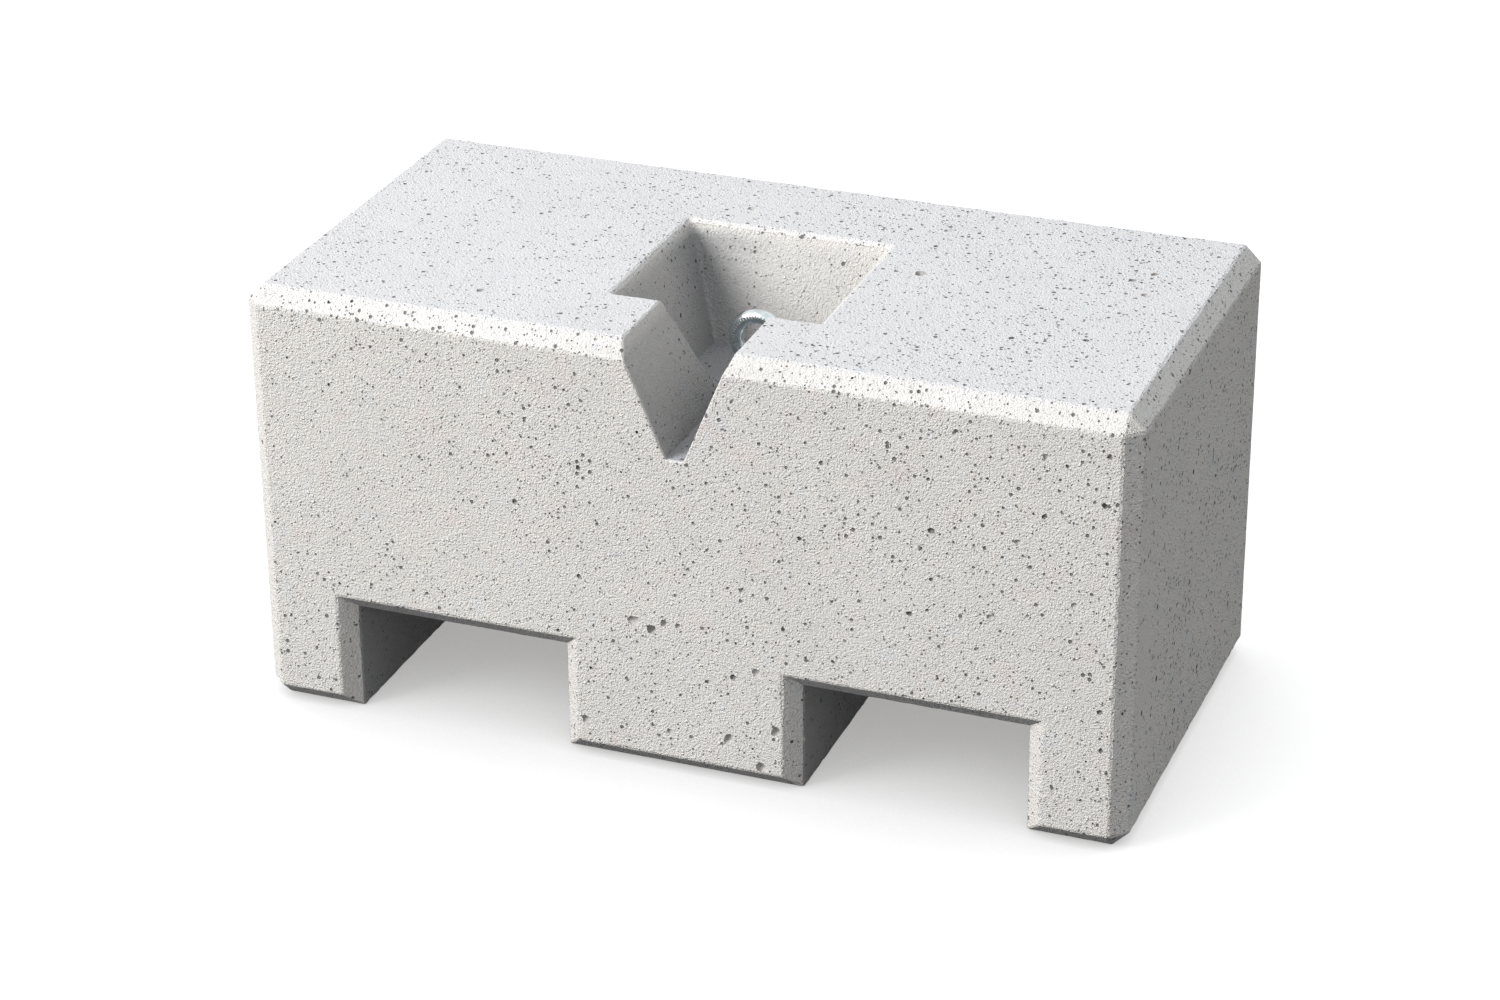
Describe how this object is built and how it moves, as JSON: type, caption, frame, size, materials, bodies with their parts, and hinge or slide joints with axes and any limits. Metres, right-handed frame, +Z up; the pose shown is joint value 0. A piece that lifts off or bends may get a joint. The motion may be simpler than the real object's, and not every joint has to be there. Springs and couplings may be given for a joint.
{
  "type": "concrete ballast block",
  "caption": "Precast concrete ballast block with fork channels underneath and a lifting eye recessed in a notched pocket in its top.",
  "frame": {"origin": "middle of the underside, on the ground", "axes": "+X along the block, -Y out of the notched front face, +Z up"},
  "size_m": [0.8, 0.4, 0.4],
  "materials": {
    "concrete": "matte",
    "zinc_steel": "satin",
    "socket_steel": "satin"
  },
  "bodies": {
    "root": {"concrete_block": "concrete", "lifting_eye_bolt": "zinc_steel", "threaded_socket": "socket_steel"}
  },
  "joints": []
}
